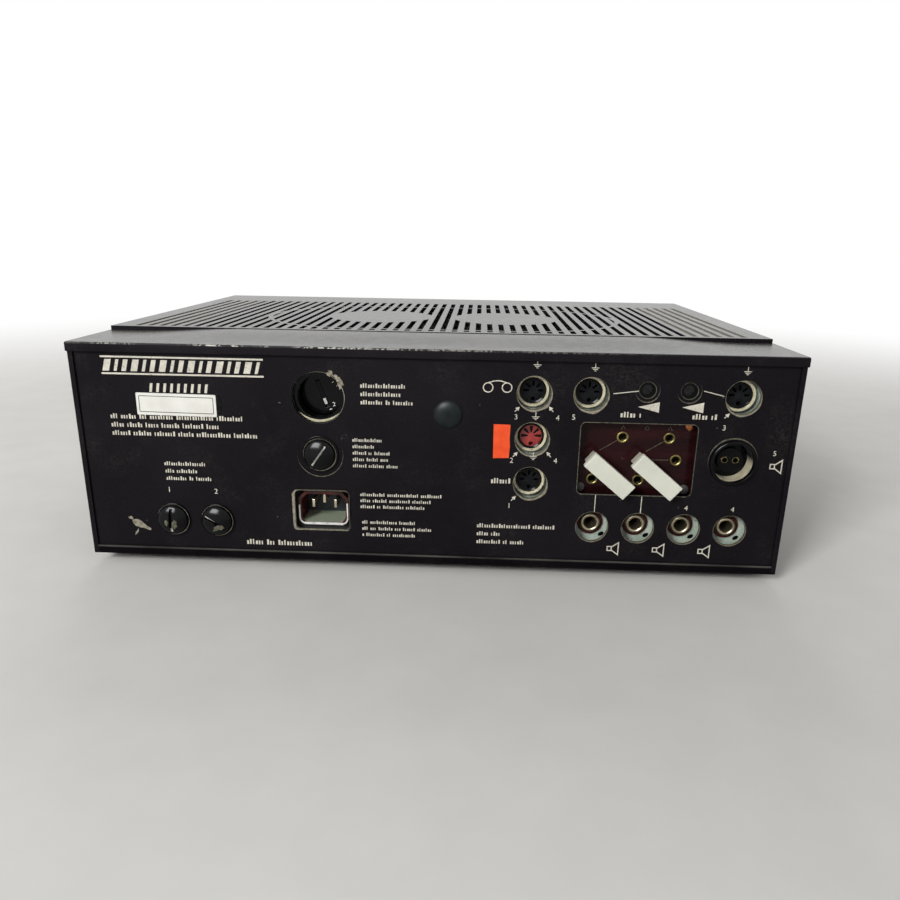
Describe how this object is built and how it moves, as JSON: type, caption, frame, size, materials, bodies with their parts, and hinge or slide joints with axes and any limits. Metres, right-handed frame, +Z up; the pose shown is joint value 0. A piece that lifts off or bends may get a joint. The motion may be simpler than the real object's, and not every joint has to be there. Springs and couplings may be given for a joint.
{
  "type": "tube amplifier",
  "caption": "Black sheet-metal tube amplifier: slotted vent lid, rear panel of sockets, fuse caps, voltage selector and plug-in links, and a front row of knobs and toggle switches.",
  "frame": {"origin": "on the surface the feet stand on, in the middle of the whole's plan", "axes": "+X towards the mains side of the rear panel, +Y out of the rear panel, +Z up; the knobs face -Y"},
  "size_m": [0.372, 0.2926, 0.125],
  "materials": {
    "black_paint": "satin enamel",
    "passivated_steel": "zinc passivated sheet",
    "plated_steel": "zinc plated",
    "brushed_aluminium": "brushed and anodised",
    "rubber": "moulded",
    "core_iron": "varnished laminations",
    "coil_wrap": "waxed paper wrap",
    "black_moulding": "moulded phenolic",
    "red_moulding": "moulded",
    "brown_moulding": "moulded phenolic",
    "cream_moulding": "moulded",
    "white_moulding": "moulded",
    "knob_moulding": "moulded",
    "tube_glass": "blown",
    "fuse_glass": "drawn tube with plated ferrules",
    "lamp_glass": "moulded amber",
    "can_aluminium": "drawn",
    "paper_board": "paper laminate",
    "component_coat": "dipped",
    "chrome": "polished",
    "nickel": "nickel plated",
    "brass": "rolled eyelets"
  },
  "bodies": {
    "root": {"bottom_tray": "black_paint", "left_side_wall": "black_paint", "right_side_wall": "black_paint", "rear_panel": "black_paint", "lid": "black_paint", "vent_grille": "black_paint", "chassis_rear_wall": "passivated_steel", "chassis_deck": "passivated_steel", "chassis_spacers": "plated_steel", "front_wall": "passivated_steel", "front_fascia": "brushed_aluminium", "rubber_feet": "rubber", "fasteners": "plated_steel", "transformer_cores": "core_iron", "transformer_coils": "coil_wrap", "tube_bracket": "passivated_steel", "tube_sockets": "black_moulding", "output_tube_bases": "black_moulding", "tube_bulbs": "tube_glass", "filter_capacitors": "can_aluminium", "circuit_board": "paper_board", "board_components": "component_coat", "potentiometers": "plated_steel", "switch_bodies": "plated_steel", "pilot_lens": "lamp_glass", "pilot_bezel": "chrome", "socket_shells": "nickel", "socket_inserts": "black_moulding", "record_socket_insert": "red_moulding", "jack_bushes": "nickel", "jack_bodies": "brown_moulding", "line_socket": "black_moulding", "line_socket_insert": "cream_moulding", "inlet_housing": "brown_moulding", "inlet_blades": "nickel", "fuse_holders": "black_moulding", "selector_base": "cream_moulding", "terminal_board": "paper_board", "terminal_eyelets": "brass", "blanking_plug": "black_moulding", "trimmer_bodies": "plated_steel"},
    "voltage_selector": {"voltage_selector": "black_moulding"},
    "input_one_trimmer": {"input_one_trimmer": "plated_steel"},
    "input_two_trimmer": {"input_two_trimmer": "plated_steel"},
    "mains_fuse_cartridge": {"mains_fuse_cartridge": "fuse_glass"},
    "mains_fuse_cap": {"mains_fuse_cap": "black_moulding"},
    "outer_fuse_cartridge": {"outer_fuse_cartridge": "fuse_glass"},
    "outer_fuse_cap": {"outer_fuse_cap": "black_moulding"},
    "inner_fuse_cartridge": {"inner_fuse_cartridge": "fuse_glass"},
    "inner_fuse_cap": {"inner_fuse_cap": "black_moulding"},
    "left_link": {"left_link": "white_moulding"},
    "right_link": {"right_link": "white_moulding"},
    "volume_one_knob": {"volume_one_knob": "knob_moulding"},
    "volume_two_knob": {"volume_two_knob": "knob_moulding"},
    "volume_three_knob": {"volume_three_knob": "knob_moulding"},
    "volume_four_knob": {"volume_four_knob": "knob_moulding"},
    "bass_knob": {"bass_knob": "knob_moulding"},
    "treble_knob": {"treble_knob": "knob_moulding"},
    "mains_switch_lever": {"mains_switch_lever": "chrome"},
    "standby_switch_lever": {"standby_switch_lever": "chrome"}
  },
  "joints": [
    {"name": "voltage_selector_turn", "type": "hinge", "parent": "root", "child": "voltage_selector", "pos_m": [0.0575, 0.1263, 0.0961], "axis": [0, 1, 0], "range_deg": [-90, 180]},
    {"name": "input_one_trimmer_turn", "type": "hinge", "parent": "root", "child": "input_one_trimmer", "pos_m": [-0.1089, 0.1353, 0.1042], "axis": [0, 1, 0], "range_deg": [-135, 135]},
    {"name": "input_two_trimmer_turn", "type": "hinge", "parent": "root", "child": "input_two_trimmer", "pos_m": [-0.1296, 0.1353, 0.1042], "axis": [0, 1, 0], "range_deg": [-135, 135]},
    {"name": "mains_fuse_draw", "type": "slide", "parent": "root", "child": "mains_fuse_cartridge", "axis": [0, 1, 0], "range_m": [0, 0.036]},
    {"name": "mains_fuse_cap_turn", "type": "hinge", "parent": "mains_fuse_cartridge", "child": "mains_fuse_cap", "pos_m": [0.0575, 0.1403, 0.0661], "axis": [0, 1, 0], "range_deg": [0, 90]},
    {"name": "outer_fuse_draw", "type": "slide", "parent": "root", "child": "outer_fuse_cartridge", "axis": [0, 1, 0], "range_m": [0, 0.036]},
    {"name": "outer_fuse_cap_turn", "type": "hinge", "parent": "outer_fuse_cartridge", "child": "outer_fuse_cap", "pos_m": [0.1388, 0.1403, 0.0273], "axis": [0, 1, 0], "range_deg": [0, 90]},
    {"name": "inner_fuse_draw", "type": "slide", "parent": "root", "child": "inner_fuse_cartridge", "axis": [0, 1, 0], "range_m": [0, 0.036]},
    {"name": "inner_fuse_cap_turn", "type": "hinge", "parent": "inner_fuse_cartridge", "child": "inner_fuse_cap", "pos_m": [0.1148, 0.1403, 0.0273], "axis": [0, 1, 0], "range_deg": [0, 90]},
    {"name": "left_link_pull", "type": "slide", "parent": "root", "child": "left_link", "axis": [0, 1, 0], "range_m": [0, 0.014]},
    {"name": "right_link_pull", "type": "slide", "parent": "root", "child": "right_link", "axis": [0, 1, 0], "range_m": [0, 0.014]},
    {"name": "volume_one_knob_turn", "type": "hinge", "parent": "root", "child": "volume_one_knob", "pos_m": [-0.11, -0.1287, 0.052], "axis": [0, -1, 0], "range_deg": [-150, 150]},
    {"name": "volume_two_knob_turn", "type": "hinge", "parent": "root", "child": "volume_two_knob", "pos_m": [-0.066, -0.1287, 0.052], "axis": [0, -1, 0], "range_deg": [-150, 150]},
    {"name": "volume_three_knob_turn", "type": "hinge", "parent": "root", "child": "volume_three_knob", "pos_m": [-0.022, -0.1287, 0.052], "axis": [0, -1, 0], "range_deg": [-150, 150]},
    {"name": "volume_four_knob_turn", "type": "hinge", "parent": "root", "child": "volume_four_knob", "pos_m": [0.022, -0.1287, 0.052], "axis": [0, -1, 0], "range_deg": [-150, 150]},
    {"name": "bass_knob_turn", "type": "hinge", "parent": "root", "child": "bass_knob", "pos_m": [0.066, -0.1287, 0.052], "axis": [0, -1, 0], "range_deg": [-150, 150]},
    {"name": "treble_knob_turn", "type": "hinge", "parent": "root", "child": "treble_knob", "pos_m": [0.11, -0.1287, 0.052], "axis": [0, -1, 0], "range_deg": [-150, 150]},
    {"name": "mains_switch_lever_throw", "type": "hinge", "parent": "root", "child": "mains_switch_lever", "pos_m": [-0.156, -0.1265, 0.052], "axis": [-1, 0, 0], "range_deg": [0, 24]},
    {"name": "standby_switch_lever_throw", "type": "hinge", "parent": "root", "child": "standby_switch_lever", "pos_m": [0.156, -0.1265, 0.052], "axis": [-1, 0, 0], "range_deg": [0, 24]}
  ]
}
